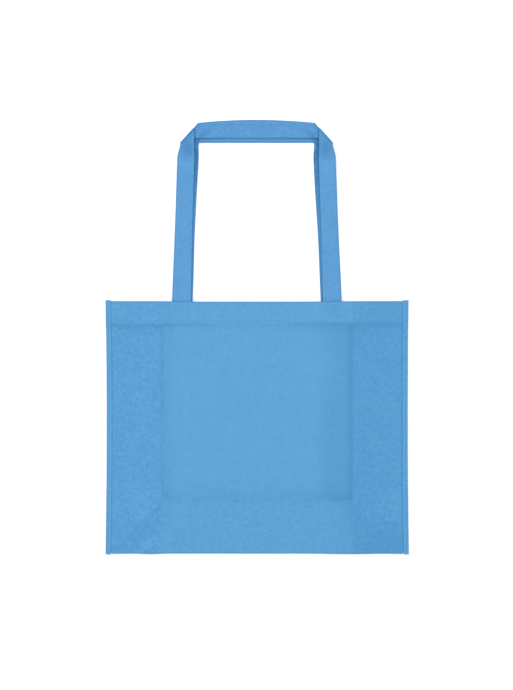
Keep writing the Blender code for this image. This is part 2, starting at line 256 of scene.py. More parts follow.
# A ply of cloth on a grid of middle points; places left out are cut away. The tones are, at
# each point, how much cloth backs it and how much painted shade it carries there (below 0,
# painted highlight)
def lay_cloth(name, points, normals, tones, left_out=()):
    spots = []
    backings = []
    painted_shades = []
    number = {}
    faces = []
    edges = {}
    for row in range(len(points) - 1):
        for column in range(len(points[0]) - 1):
            if (row, column) in left_out:
                continue
            ring = [(row, column), (row + 1, column), (row + 1, column + 1), (row, column + 1)]
            for place in ring:
                if place not in number:
                    number[place] = len(spots)
                    middle = points[place[0]][place[1]]
                    normal = normals[place[0]][place[1]]
                    spots += [lie(middle + normal * CLOTH / 2), lie(middle - normal * CLOTH / 2)]
                    backings += [tones[place[0]][place[1]][0]] * 2
                    painted_shades += [tones[place[0]][place[1]][1]] * 2
            faces.append([number[place] for place in ring])
            faces.append([number[place] + 1 for place in reversed(ring)])
            for start, end in zip(ring, ring[1:] + ring[:1]):
                edges[(start, end)] = True
    for start, end in edges:
        if (end, start) not in edges:
            one, other = number[start], number[end]
            faces.append([one, one + 1, other + 1, other])
    mesh = bpy.data.meshes.new(name)
    mesh.from_pydata(spots, [], faces)
    mesh.attributes.new("backing", "FLOAT", "POINT").data.foreach_set("value", backings)
    mesh.attributes.new("painted_shade", "FLOAT", "POINT").data.foreach_set("value", painted_shades)
    build = bmesh.new()
    build.from_mesh(mesh)
    bmesh.ops.recalc_face_normals(build, faces=build.faces)
    if build.calc_volume(signed=True) < 0:
        bmesh.ops.reverse_faces(build, faces=build.faces)
    build.to_mesh(mesh)
    build.free()
    cloth = bpy.data.objects.new(name, mesh)
    bpy.context.collection.objects.link(cloth)
    mesh.shade_smooth()
    mesh.set_sharp_from_angle(angle=math.radians(55))
    return cloth


def fold_arc(height, start_level, end_level, way, count=5):
    middle = (start_level + end_level) / 2
    radius = abs(end_level - start_level) / 2
    turn = 1 if start_level > end_level else -1
    arc = []
    for index in range(1, count + 1):
        angle = math.pi * index / (count + 1)
        out = way * radius * math.sin(angle)
        arc.append((height + out, middle + turn * radius * math.cos(angle)))
    return arc


def path_normals(path):
    normals = []
    for index, here in enumerate(path):
        before = path[max(index - 1, 0)]
        after = path[min(index + 1, len(path) - 1)]
        along = Vector((0.0, 0.0))
        for step in (Vector(here) - Vector(before), Vector(after) - Vector(here)):
            if step.length > 1e-9:
                along += step.normalized()
        along.normalize()
        normals.append((-along.y, along.x))
    return normals


# The panel's whole run, from the front hem's edge over the mouth, down the front, in and out
# round the bottom's creases, up the back and over into the back hem
EDGE = 0.0011
HEM_PITCH = 0.004
FRONT_PITCH = 0.0026
BOTTOM_PITCH = 0.007
BACK_PITCH = 0.0045


def panel_path(inward):
    low_front = (front_level(inward, 0) - front_bottom_level(inward, 0)) / 2
    low_back = (back_bottom_level(inward, 0) - back_level(inward)) / 2
    crease_front = front_bottom_level(inward, CREASE_RISE)
    crease_back = back_bottom_level(inward, CREASE_RISE)
    path = [(row, front_level(inward, row) - PLY) for row in spread(HEM_LINE, MOUTH, HEM_PITCH)]
    path += fold_arc(MOUTH, path[-1][1], front_level(inward, MOUTH), 1)
    front_start = len(path)
    front_rows = [MOUTH] + spread(MOUTH - EDGE, low_front + EDGE, FRONT_PITCH) + [low_front]
    path += [(row, front_level(inward, row)) for row in front_rows]
    front_end = len(path)
    path += fold_arc(low_front, path[-1][1], front_bottom_level(inward, low_front), -1)
    for row in spread(low_front, CREASE_RISE, BOTTOM_PITCH):
        path.append((row, front_bottom_level(inward, row)))
    path += fold_arc(CREASE_RISE, crease_front, crease_back, 1, 4)
    for row in spread(CREASE_RISE, low_back, BOTTOM_PITCH):
        path.append((row, back_bottom_level(inward, row)))
    path += fold_arc(low_back, path[-1][1], back_level(inward), -1)
    back_start = len(path)
    back_rows = [low_back] + spread(low_back + EDGE, MOUTH - EDGE, BACK_PITCH) + [MOUTH]
    path += [(row, back_level(inward)) for row in back_rows]
    path += fold_arc(MOUTH, back_level(inward), back_level(inward) + PLY, 1)
    path += [(row, back_level(inward) + PLY) for row in spread(MOUTH, HEM_LINE, HEM_PITCH)]
    return path, front_start, front_end, back_start


# Lines pressed into the cloth by what is folded inside, darkened along them with painted shade:
# ends in x and height, half width and depth of painted shade. The left diagonal's ridge stands
# just above its painted shade. The last two are painted highlights, where the hem lies fuller
# just above its seam
BOTTOM_CREASE = 0.0695
HEM_FULLNESS = 0.3088
LEFT_DIAGONAL = ((-0.1245, 0.0666), (-0.1790, 0.0130))
LEFT_RIDGE = ((-0.1268, 0.0689), (-0.1813, 0.0153))
RIGHT_DIAGONAL = ((0.1285, 0.0618), (0.1815, 0.0114))
PRESS_LINES = [
    ((-0.1257, 0.304), (-0.1257, 0.079), 0.0036, 0.48),
    ((-0.1219, BOTTOM_CREASE), (0.1166, BOTTOM_CREASE), 0.0036, 0.26),
    ((-0.1192, 0.0829), (-0.1285, 0.0745), 0.0021, 0.42),
    LEFT_DIAGONAL + (0.0034, 0.50),
    RIGHT_DIAGONAL + (0.0021, 0.30),
    ((-0.1709, 0.0227), (-0.1597, 0.0123), 0.0017, 0.30),
    ((-0.1250, HEM_FULLNESS), (0.0400, HEM_FULLNESS), 0.0013, -0.30),
    ((0.0400, HEM_FULLNESS), (0.1925, HEM_FULLNESS), 0.0013, -0.75),
]


def off_line(x, height, line):
    start, end = Vector(line[0]), Vector(line[1])
    way = end - start
    share = min(max((Vector((x, height)) - start).dot(way) / way.length_squared, 0.0), 1.0)
    return (Vector((x, height)) - start - way * share).length


# Patches of painted shade on the panel (above 0) and of painted highlight (below 0): x, height,
# reach both ways and amount
SOFT_SHADES = [
    (0.1735, 0.0540, 0.026, 0.020, -0.55),
    (-0.1680, 0.0620, 0.036, 0.013, -0.40),
    (-0.1400, 0.0155, 0.013, 0.010, -0.20),
    (0.1340, 0.3170, 0.013, 0.013, -0.30),
    (0.0940, 0.2500, 0.014, 0.040, -0.30),
    (0.1110, 0.0670, 0.012, 0.007, 0.40),
    (0.1080, 0.3140, 0.018, 0.016, 0.22),
]


# A soft round patch of painted shade or painted highlight, 1 at its middle
def shade_patch(x, height, middle, level, reach, rise):
    return math.exp(-((x - middle) / reach) ** 2 - ((height - level) / rise) ** 2)


# The cloth looks deeper in colour over a thicker stack, and painted shade darkens it where it
# lies hollow beside one: along the bindings, below the hem's seam and beside the gussets' inner
# folds
def panel_tone(side, inward, height, at_front):
    x = side * (HALF_WIDTH - inward)
    gusset = ease(inward - GUSSET_HALF, 0.003)
    bottom = ease(height - BOTTOM_CREASE, 0.003)
    hem = ease(HEM_LINE - height, 0.002)
    stacks = (0.40 - 0.14 * hem) * gusset, 0.20 * bottom, 0.10 * hem
    backing = max(stacks) + 0.08 * gusset * bottom
    inside = (1 - gusset) * (1 - bottom)
    # Painted shade on the slope above the bottom's crease, and a painted shadow line beside each
    # binding
    painted_shade = 0.34 * ease(height - BOTTOM_CREASE, 0.034) * inside
    painted_shade += (0.30 if x < 0 else 0.60) * ease(inward - TAPE_WIDTH, 0.0022)
    # On the back, painted shade beside the gussets' folds
    if not at_front:
        return backing, painted_shade + 0.25 * ease(inward - GUSSET_HALF, 0.018) * inside
    # Painted shade in a line under the hem's seam, trailing down below it
    below_hem = HEM_LINE - height
    hem_shade = (
        0.52 * ease(x + 0.075, 0.025) + 0.16
        + 0.36 * ease(0.055 - x, 0.02) - 0.20 * ease(0.125 - x, 0.02)
    )
    painted_shade += 0.8 * hem_shade * ease(abs(below_hem - 0.0012) - 0.0008, 0.0022) * (1 - 0.4 * hem)
    trail = 0.65 * ease(below_hem, 0.016) if x > 0 else 0.32 * ease(below_hem, 0.0095)
    painted_shade += trail * hem_shade * (1 - hem)
    # Painted shade on the slopes just inside the gussets' folds, in a broad band on the right, and
    # over the right gusset
    from_fold = inward - GUSSET_HALF
    if x < 0:
        painted_shade += 0.30 * ease(from_fold, 0.022) * inside
    else:
        beside_fold = (1 - ease(from_fold + 0.0018, 0.0025)) * (1 - bottom)
        band = 0.45 * ease(from_fold - 0.026, 0.030) + 0.46 * ease(from_fold - 0.002, 0.010)
        painted_shade += band * beside_fold * ease(height - 0.2945, 0.014)
        painted_shade += 0.5 * ease(from_fold, 0.014) * bottom * (1 - gusset) * ease(0.050 - height, 0.02)
        painted_shade += (0.28 + 0.10 * hem) * gusset
    # Painted shade growing towards the bottom right corner
    painted_shade += 0.34 * ease(0.205 - x, 0.15) * ease(height - 0.02, 0.09)
    # Soft patches of painted shade and painted highlight
    for *shade, amount in SOFT_SHADES:
        painted_shade += amount * shade_patch(x, height, *shade)
    return backing, painted_shade


RIDGE_RISE = 0.0006
FOLD_RIM = 0.0008
FOLD_RIM_SHADE = 1.25
side_lines = [PLY_EDGE, 0.0032, 0.0055, FLANGE_IN] + spread(FLANGE_IN, HALF_WIDTH, 0.003)[1:-1]
columns = [(-1, line) for line in side_lines] + [(1, HALF_WIDTH)]
columns += [(1, line) for line in reversed(side_lines)]
panel_points = []
panel_normals = []
panel_tones = []
for side, inward in columns:
    path, front_start, front_end, back_start = panel_path(inward)
    line = []
    tone_line = []
    # The front's tones run on half way round the fold at its foot
    half_round = front_end + 3
    for index, (height, level) in enumerate(path):
        spot = waisted(side, inward, height, level)
        if front_start <= index < front_end:
            ridge = bell(off_line(spot.x, height, LEFT_RIDGE), 0.0034)
            ridge += 0.5 * bell(off_line(spot.x, height, RIGHT_DIAGONAL), 0.0036)
            spot.z += RIDGE_RISE * ridge
        line.append(spot)
        backing, painted_shade = panel_tone(side, inward, height, index < half_round)
        # Painted shade on the rims of the folds at the mouth and the bottom
        if min(height, BAG_HEIGHT - height) < FOLD_RIM:
            painted_shade += FOLD_RIM_SHADE
        tone_line.append((backing, painted_shade))
    panel_points.append(line)
    panel_normals.append([Vector((0, along, level)) for along, level in path_normals(path)])
    panel_tones.append(tone_line)

# The bottom's seam allowances are trimmed away inside the bound edges
cut_away = set()
for cell in range(front_end - 1, back_start):
    for edge in range(side_lines.index(FLANGE_IN)):
        cut_away.add((edge, cell))
        cut_away.add((len(columns) - 2 - edge, cell))
panel_cloth = lay_cloth("panel_cloth", panel_points, panel_normals, panel_tones, cut_away)


# Spun-bonded cloth: cloudy fibre laid at random, bonded in a fine lattice of pressed diamonds.
# It is pale where a single ply lies flat and deep over a stack; painted shade darkens it where
# it lies hollow beside a fold or edge, and painted highlight lightens it where the tone is below 0
BOND_WAVES = 2960.0


def spun_cloth(name, pale, deep, painted_shade_colour, press_lines=()):
    material = bpy.data.materials.new(name)
    material.use_nodes = True
    nodes = material.node_tree.nodes
    links = material.node_tree.links
    shader = nodes["Principled BSDF"]

    def wire(source, socket):
        if isinstance(source, (int, float)):
            socket.default_value = source
        else:
            links.new(source, socket)

    def maths(operation, one, other=0.0, third=0.0):
        node = nodes.new("ShaderNodeMath")
        node.operation = operation
        wire(one, node.inputs[0])
        wire(other, node.inputs[1])
        wire(third, node.inputs[2])
        return node.outputs[0]

    def fade(value, start, end, low, high):
        node = nodes.new("ShaderNodeMapRange")
        node.interpolation_type = "SMOOTHSTEP"
        wire(value, node.inputs["Value"])
        ends = {"From Min": start, "From Max": end, "To Min": low, "To Max": high}
        for socket, amount in ends.items():
            node.inputs[socket].default_value = amount
        return node.outputs["Result"]

    def clouds(vector, size, detail):
        node = nodes.new("ShaderNodeTexNoise")
        links.new(vector, node.inputs["Vector"])
        node.inputs["Scale"].default_value = 1 / size
        node.inputs["Detail"].default_value = detail
        return node.outputs["Fac"]

    def vectors(operation, one, other):
        node = nodes.new("ShaderNodeVectorMath")
        node.operation = operation
        links.new(one, node.inputs[0])
        node.inputs[1].default_value = other
        return node.outputs

    def painted(attribute):
        node = nodes.new("ShaderNodeAttribute")
        node.attribute_name = attribute
        return node.outputs["Fac"]

    # Mixes towards a deeper colour over a stack, or towards the painted shade colour
    def deepened_or_shaded(under, over, amount):
        node = nodes.new("ShaderNodeMix")
        node.data_type = "RGBA"
        node.clamp_factor = False
        links.new(amount, node.inputs["Factor"])
        if isinstance(under, tuple):
            node.inputs["A"].default_value = under + (1.0,)
        else:
            links.new(under, node.inputs["A"])
        node.inputs["B"].default_value = over + (1.0,)
        return node.outputs["Result"]

    place = nodes.new("ShaderNodeTexCoord").outputs["Object"]
    parts = nodes.new("ShaderNodeSeparateXYZ")
    links.new(place, parts.inputs[0])
    rise = maths("ADD", parts.outputs[0], parts.outputs[1])
    rising = maths("SINE", maths("MULTIPLY", rise, BOND_WAVES))
    fall = maths("SUBTRACT", parts.outputs[0], parts.outputs[1])
    falling = maths("SINE", maths("MULTIPLY", fall, BOND_WAVES))
    bonds = fade(maths("MULTIPLY", rising, falling), 0.25, 0.7, 0.0, 1.0)
    density = clouds(place, 0.016, 3.0)
    mottle = clouds(place, 0.0046, 2.0)
    fibre = clouds(place, 0.0022, 4.0)
    strand = clouds(place, 0.0006, 2.0)
    unevenness = clouds(place, 0.034, 2.0)

    backing = painted("backing")
    # Painted shade, which turns to painted highlight below 0
    painted_shade = painted("painted_shade")
    patchy = fade(unevenness, 0.36, 0.64, 0.35, 1.35)
    relief = maths("MULTIPLY", bonds, -0.6)
    # Each press line adds painted shade along its crease, as well as a pressed relief
    for start, end, width, amount in press_lines:
        away = vectors("SUBTRACT", place, (start[0], start[1] + bottom_fold, 0))["Vector"]
        way = Vector((end[0] - start[0], end[1] - start[1], 0))
        along = vectors("DOT_PRODUCT", away, way.normalized())["Value"]
        sideways = Vector((-way.y, way.x, 0)).normalized()
        across = vectors("DOT_PRODUCT", away, sideways)["Value"]
        mark = fade(maths("ABSOLUTE", across), 0.0, width, 1.0, 0.0)
        half = way.length / 2
        from_middle = maths("ABSOLUTE", maths("SUBTRACT", along, half))
        past_end = maths("SUBTRACT", from_middle, half)
        mark = maths("MULTIPLY", mark, fade(past_end, -0.006, 0.002, 1.0, 0.0))
        painted_shade = maths("MULTIPLY_ADD", maths("MULTIPLY", mark, patchy), amount, painted_shade)
        relief = maths("MULTIPLY_ADD", mark, 0.8, relief)
    grain = maths("MULTIPLY", maths("SUBTRACT", mottle, 0.5), 1.7)
    grain = maths("MULTIPLY_ADD", maths("SUBTRACT", fibre, 0.5), 1.1, grain)
    unsettled = maths("MULTIPLY_ADD", painted_shade, 0.9, maths("MULTIPLY_ADD", backing, 2.3, 0.75))
    grain = maths("MULTIPLY", grain, unsettled)
    grain = maths("MULTIPLY_ADD", maths("SUBTRACT", density, 0.5), 0.5, grain)
    grain = maths("MULTIPLY_ADD", bonds, 0.14, grain)

    # The colour is deepened over a stack, then painted shade is mixed in
    cloth_colour = deepened_or_shaded(deepened_or_shaded(pale, deep, maths("ADD", backing, grain)), painted_shade_colour, painted_shade)
    links.new(cloth_colour, shader.inputs["Base Color"])
    roughness = fade(maths("MULTIPLY_ADD", bonds, -0.35, fibre), 0.1, 0.8, 0.46, 0.74)
    links.new(roughness, shader.inputs["Roughness"])
    relief = maths("MULTIPLY_ADD", fibre, 0.7, relief)
    relief = maths("MULTIPLY_ADD", strand, 0.35, relief)
    bump = nodes.new("ShaderNodeBump")
    bump.inputs["Strength"].default_value = 0.55
    bump.inputs["Distance"].default_value = 0.00016
    links.new(relief, bump.inputs["Height"])
    links.new(bump.outputs["Normal"], shader.inputs["Normal"])
    shader.inputs["Specular IOR Level"].default_value = 0.3
    shader.inputs["Sheen Weight"].default_value = 0.08
    shader.inputs["Sheen Roughness"].default_value = 0.5
    return material


PALE_SKY = (0.0970, 0.3375, 0.6270)
DEEP_SKY = (0.0680, 0.2960, 0.5960)
# The colour that painted shade darkens the cloth towards
PAINTED_SHADE_SKY = (0.0615, 0.2715, 0.5430)
panel_finish = spun_cloth("panel_cloth", PALE_SKY, DEEP_SKY, PAINTED_SHADE_SKY, PRESS_LINES)
panel_cloth.data.materials.append(panel_finish)
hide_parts("main_panel")
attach(panel_cloth, "root")

# Side gussets: on each side a strip of the same cloth, folded inwards on its centre crease
# between the front and the back. Its foot turns over on the diagonal and tucks round the
# crease of the bottom, and its head is hemmed with the mouth.
MITRE = GUSSET_HALF - 0.004
LOW_RADIUS = 2.5 * PLY
PRESSED = 0.4
# The gussets' tones: deep over their stack, with some painted shade
GUSSET_TONE = (0.4, 0.3)
FLAT_STEPS = 12
FOOT_STEPS = 6
MITRE_ANGLES = [step / 6 for step in range(1, 6)]
TUCK_ANGLES = [0.25, 0.5, 0.75, 1.0]
UP = Vector((0, 0, 1))


# Half a row across the gusset, from the bound edge to the bottom's crease: distance inward,
# height, drop below the front ply and the way up from the cloth
def low_gusset_row(row):
    flat = spread(PLY_EDGE, row, (row - PLY_EDGE) / FLAT_STEPS)
    half = [(inward, row, 0.0, UP) for inward in flat]
    for share in MITRE_ANGLES:
        angle = share * math.pi
        run = FOLD * angle / math.sqrt(2)
        out = FOLD * math.sin(angle) / math.sqrt(2)
        lean = math.sin(angle) / math.sqrt(2)
        drop = FOLD * (1 - math.cos(angle))
        normal = Vector((lean, -lean, math.cos(angle)))
        half.append((row + run + out, row + run - out, drop, normal))
    for step in range(FOOT_STEPS + 1):
        height = row + CREEP + (CREASE_RISE - row - CREEP) * step / FOOT_STEPS
        half.append((row + CREEP, height, PLY, -UP))
    for share in TUCK_ANGLES:
        angle = share * math.pi / 2
        height = CREASE_RISE + TUCK_FOLD * math.sin(angle)
        normal = Vector((0, -math.sin(angle), -math.cos(angle)))
        half.append((row + CREEP, height, PLY + TUCK_FOLD * (1 - math.cos(angle)), normal))
    return half


# Above the corner a half row ends at the gusset's own centre crease; it has as many places,
# so that the rows join up
def high_gusset_row(row):
    radius = (front_gusset_level(GUSSET_HALF, row) - back_gusset_level(GUSSET_HALF, row)) / 2
    share = radius / LOW_RADIUS
    centre = GUSSET_HALF - radius * math.pi / 2
    past_mitre = GUSSET_HALF - MITRE
    pattern = [past_mitre] + [past_mitre - CREEP * 2 * angle for angle in MITRE_ANGLES]
    foot_start = past_mitre - CREEP * 2
    foot_end = TUCK_FOLD * math.pi / 2
    foot_run = foot_end - foot_start
    pattern += [foot_start + foot_run * step / FOOT_STEPS for step in range(FOOT_STEPS + 1)]
    pattern += [foot_end * (1 - angle) for angle in TUCK_ANGLES]
    half = []
    for distance in pattern:
        run = distance * share
        angle = run / radius
        if angle > math.pi / 2:
            half.append((GUSSET_HALF - run, row, 0.0, UP))
        else:
            normal = Vector((math.cos(angle), 0, math.sin(angle)))
            inward = centre + radius * math.cos(angle)
            half.append((inward, row, radius * (1 - math.sin(angle)), normal))
    reach = half[0][0] - PLY_EDGE
    flat = [PLY_EDGE + reach * step / FLAT_STEPS for step in range(FLAT_STEPS)]
    return [(inward, row, 0.0, UP) for inward in flat] + half


def gusset_row(row):
    half = low_gusset_row(row) if row < GUSSET_HALF else high_gusset_row(row)
    places = []
    facing = []
    for face, spots in ((1, half), (-1, half[-2::-1])):
        for inward, height, drop, normal in spots:
            front = front_gusset_level(inward, height)
            back = back_gusset_level(inward, height)
            level = front - drop if face > 0 else back + drop
            if len(places) == len(half) - 1:
                level = (front + back) / 2
            places.append(Vector((inward, height, level)))
            facing.append(Vector((normal.x, normal.y, face * normal.z)))
    return places, facing


# Between the last row on the diagonal and the first row above it the cloth is stretched flat,
# and its creases, which meet in one point there, are pressed thinner
def blended_row(low, high, share):
    places = [start.lerp(end, share) for start, end in zip(low, high)]
    facing = []
    for index in range(len(places)):
        into = places[index] - places[max(index - 1, 0)]
        out = places[min(index + 1, len(places) - 1)] - places[index]
        facing.append((into.normalized() + out.normalized()).cross(high[index] - low[index]))
    return places, facing


def pressed(facing, amount):
    creased = range(FLAT_STEPS + 1, len(facing) - FLAT_STEPS - 1)
    depths = [amount if index in creased else 1 for index in range(len(facing))]
    return [normal.normalized() * depth for normal, depth in zip(facing, depths)]


def gusset_cloth(name, side):
    rows = [gusset_row(row) + (0.0, 0.0) for row in spread(SEAM_TRIM, MITRE, 0.006)]
    low, low_facing = rows[-1][:2]
    places, facing = gusset_row(CORNER)
    leaving = blended_row(low, places, 0.0)[1]
    arriving = blended_row(low, places, 1.0)[1]
    meeting = [one + other.normalized() for one, other in zip(low_facing, leaving)]
    rows[-1] = (low, pressed(meeting, (1 + PRESSED) / 2), 0.0, 0.0)
    for share in (1 / 3, 2 / 3):
        between, leaning = blended_row(low, places, share)
        rows.append((between, pressed(leaning, PRESSED), 0.0, 0.0))
    turning = [one + other.normalized() for one, other in zip(facing, arriving)]
    rows.append((places, pressed(turning, 1), 0.0, 0.0))
    settled = CORNER + EASE
    near_hem = HEM_LINE - 0.022
    higher = spread(CORNER, settled, 0.0028)[1:] + spread(settled, near_hem, 0.008)[1:]
    higher += spread(near_hem, MOUTH, 0.003)[1:]
    rows += [gusset_row(row) + (0.0, 0.0) for row in higher]
    places, facing = gusset_row(MOUTH)
    for share in (0.25, 0.5, 0.75):
        turn = share * math.pi
        rows.append((places, facing, FOLD * (1 - math.cos(turn)), turn))
    rows += [gusset_row(row) + (PLY, math.pi) for row in spread(MOUTH, HEM_LINE, HEM_PITCH)]
    points = []
    normals = []
    for places, facing, offset, turn in rows:
        line = []
        turned = []
        for place, normal in zip(places, facing):
            away = Vector((-side * normal.x, normal.y, normal.z))
            spot = waisted(side, place.x, place.y, place.z)
            line.append(spot + away * offset + Vector((0, FOLD * math.sin(turn), 0)))
            turned.append(away * math.cos(turn) - Vector((0, math.sin(turn), 0)))
        points.append(line)
        normals.append(turned)
    return lay_cloth(name, points, normals, [[GUSSET_TONE] * len(line) for line in points])


gusset_finish = spun_cloth("gusset_cloth", PALE_SKY, DEEP_SKY, PAINTED_SHADE_SKY)
for name, side in (("left_gusset", -1), ("right_gusset", 1)):
    gusset = gusset_cloth(name + "_cloth", side)
    gusset.data.materials.append(gusset_finish)
    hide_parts(name)
    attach(gusset, "root")

# Edge bindings: a narrow tape of the same cloth, folded round each side seam and sewn down its
# middle. The thread pulls it in, so it puffs up slightly on both sides of the stitches, and
# its head stands proud of the mouth.
TAPE_HEAD = 0.0015
TAPE_BEND = 0.0006
TAPE_PUFF = 0.00026
PUFF_WIDTH = 0.0030
PUFF_IN = 0.0052
TAPE_BACKING = 0.15
SEAM_IN = 0.0036


def tape_levels(over_front, height):
    height = min(max(height, SEAM_TRIM), MOUTH)
    if over_front:
        return front_gusset_level(PLY_EDGE, height) - PLY, front_level(PLY_EDGE, height) + PLY
    return back_level(PLY_EDGE) - PLY, back_gusset_level(PLY_EDGE, height) + PLY


def tape_puff(inward):
    return TAPE_PUFF * math.sin(math.pi * min(abs(inward - SEAM_IN) / PUFF_WIDTH, 1.0)) ** 2


# Painted shade on the tape's folded rim and in its seam's groove, and a painted highlight on the
# puff beside the seam
def tape_painted_shade(inward):
    rim = 1.9 * ease(inward, 0.0018)
    seam = 0.75 * ease(abs(inward - SEAM_IN), 0.0011)
    return rim + seam - 0.45 * ease(abs(inward - PUFF_IN), 0.0014)


def tape(name, side, over_front):
    points = []
    normals = []
    tones = []
    turn = TAPE_BEND * (1 - math.sqrt(0.5))
    edge = CLOTH / 2
    for row in spread(-TAPE_TAIL, BAG_HEIGHT + TAPE_HEAD, 0.003):
        low, high = tape_levels(over_front, row)
        flat = spread(TAPE_WIDTH, edge + TAPE_BEND, 0.0006)
        section = [(inward, low) for inward in flat]
        section += [(edge + turn, low + turn), (edge, low + TAPE_BEND), (edge, high - TAPE_BEND)]
        section += [(edge + turn, high - turn)]
        for inward in reversed(flat):
            section.append((inward, high + (tape_puff(inward) if over_front else 0)))
        points.append([waisted(side, inward, row, level) for inward, level in section])
        normals.append([Vector((-side * out, 0, up)) for out, up in path_normals(section)])
        tones.append([(TAPE_BACKING, tape_painted_shade(inward)) for inward, level in section])
    return lay_cloth(name, points, normals, tones)


PALE_TAPE = (0.1000, 0.3420, 0.6260)
tape_finish = spun_cloth("binding_cloth", PALE_TAPE, DEEP_SKY, PAINTED_SHADE_SKY)
for node, side, over_front in (
    ("front_left_binding", -1, True),
    ("front_right_binding", 1, True),
    ("back_left_binding", -1, False),
    ("back_right_binding", 1, False),
):
    strip = tape(node + "_tape", side, over_front)
    strip.data.materials.append(tape_finish)
    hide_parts(node)
    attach(strip, "root")

# Handles: two straps, each a strip folded in half along its length and sewn flat near each
# edge, with both ends sewn inside a hem. As they lie, both turn over on 45 degree folds, one
# inside the other, and both grips run across between the legs.
LEG_DRAW = 0.0020
MITRE_DRAW = 0.0024
CORNER_TUCK = 0.0024
HANDLE_REACH = 0.2108
FRONT_CROWN = 0.0921
BACK_CROWN = 0.0865
HANDLE_END = HEM_DEPTH - 0.001
LEG_PITCH = 0.0028
LEG_TOP = 0.115
# How long before the fold the strap's two edges begin to part, and the leg has risen over
SLANT_START = 0.077
LIFT_END = 0.032
LIFT_RUN = 0.045
# For each strap: out and up together where its outer and its inner edge turn over, and the
# low edge of its grip
FRONT_TURN = (0.3088, 0.3101, 0.2102)
BACK_TURN = (0.3090, 0.3127, 0.2158)


def strap_section():
    radius = PLY / 2
    edge = CLOTH / 2 + radius
    across = [STRAP_WIDTH] + spread(STRAP_WIDTH - EDGE, edge, 0.0024)
    section = [(spot, -radius) for spot in across]
    for share in (0.2, 0.4, 0.6, 0.8):
        angle = share * math.pi
        section.append((edge - radius * math.sin(angle), -radius * math.cos(angle)))
    return section + [(spot, radius) for spot in reversed(across)]


def leg_edges(foot, crown, rise):
    share = min(max(rise / HANDLE_REACH, 0.0), 1.0)
    centre = foot + (crown - foot) * share
    width = STRAP_WIDTH - LEG_DRAW * ease(0.5 - share, 0.45) - MITRE_DRAW * ease(1 - share, 0.11)
    half = width / 2
    return centre + half - CORNER_TUCK * ease(HANDLE_REACH - 0.001 - rise, 0.018), centre - half


# How far each leg leans to the left of where it was laid
def leg_lean(side, layer, out, rise):
    reach = min(max(rise / HANDLE_REACH, 0.0), 1.0)
    if side > 0:
        lean = (1 - layer) * (0.0015 * ease(0.8 - reach, 0.6) - 0.0008 * ease(1 - reach, 0.10))
    elif layer:
        lean = 0.0003 + 0.0009 * math.sin(min(reach * 1.3, 1.0) * math.pi / 2)
    else:
        lean = 0.0008 + 0.0007 * math.sin(reach * math.pi)
    return lean * min(out / 0.075, 1.0)


# The front strap folds back round the back strap, which folds forward inside it
def strap_stations(foot, crown, layer, turn):
    base = back_level(HALF_WIDTH) + PLY + CLOTH / 2 + GAP + STRAP_THICK / 2 + layer * STRAP_STEP
    rest = STRAP_THICK / 2 + layer * STRAP_STEP
    grip = STRAP_THICK / 2 + (0 if layer else 2) * STRAP_STEP
    over = STRAP_THICK / 2 + (3 if layer else 1) * STRAP_STEP
    flat = 0.72 if layer else 0.40
    bulge = abs(over - grip) / 2 * flat / math.sqrt(2)
    turn_way = 1 if over > grip else -1
    outer_line, inner_line, low = turn
    outer_crown, inner_crown = leg_edges(foot, crown, HANDLE_REACH)
    up = (0, 0, 1)
    stations = []
    for rise in spread(-HANDLE_END, LEG_TOP, LEG_PITCH):
        outer, inner = leg_edges(foot, crown, rise)
        level = rest + (base - rest) * ease(rise - 0.002, 0.024)
        stations.append(((outer, rise), (inner, rise), level, up))

    def slanted(before):
        outer, inner = outer_crown, inner_crown
        for _ in range(5):
            outer = leg_edges(foot, crown, outer_line - before - outer)[0]
            inner = leg_edges(foot, crown, inner_line - before - inner)[1]
        return (outer, outer_line - before - outer), (inner, inner_line - before - inner)

    first_outer, first_inner = slanted(SLANT_START)
    for share in spread(0.0, 1.0, 0.08)[1:-1]:
        outer_rise = LEG_TOP + (first_outer[1] - LEG_TOP) * share
        inner_rise = LEG_TOP + (first_inner[1] - LEG_TOP) * share
        outer = leg_edges(foot, crown, outer_rise)[0]
        inner = leg_edges(foot, crown, inner_rise)[1]
        stations.append(((outer, outer_rise), (inner, inner_rise), rest, up))
    for before in spread(SLANT_START, 0.0, 0.002):
        outer, inner = slanted(before)
        level = rest + (over - rest) * ease(before - LIFT_END, LIFT_RUN)
        stations.append((outer, inner, level, up))
    for share in spread(0.0, 1.0, 0.1)[1:-1]:
        angle = share * math.pi
        out = bulge * math.sin(angle)
        away = turn_way * math.sin(angle) / math.sqrt(2)
        outer = (outer_crown + out * 0.6, outer_line - outer_crown + out * 0.6)
        inner = (inner_crown + out, inner_line - inner_crown + out)
        level = (over + grip) / 2 + (over - grip) / 2 * math.cos(angle)
        stations.append((outer, inner, level, (away, away, math.cos(angle))))
    corner = outer_line - outer_crown
    high = inner_line - inner_crown
    for place in spread(inner_crown, 0.0, 0.0024):
        swell = 1 - (place / inner_crown) ** 2
        slant = ease(inner_crown - place, 0.045)
        width = STRAP_WIDTH * swell + (high - low) * (1 - swell)
        edge = low + (corner - low) * ease(inner_crown - place, 0.015)
        sag = (0 if layer else 1) * STRAP_STEP * (1 - ease(inner_crown - 0.004 - place, 0.040))
        outer = (place + (outer_crown - inner_crown) * slant, edge)
        stations.append((outer, (place, low + width), grip - sag, (0, 0, -1)))
    return stations


# Both halves of a strap, as frames across it: where an edge starts, the way across and the way up
def strap_frames(foot, crown, layer, turn):
    half = strap_stations(foot, crown, layer, turn)
    both = [(station, 1) for station in half] + [(station, -1) for station in reversed(half[:-1])]
    frames = []
    for (outer, inner, level, facing), side in both:
        start, end = (
            Vector((side * out - leg_lean(side, layer, out, rise), BAG_HEIGHT + rise, level))
            for out, rise in (outer, inner)
        )
        upward = Vector((side * facing[0], facing[1], facing[2]))
        frames.append((start, (end - start) / STRAP_WIDTH, upward))
    return frames


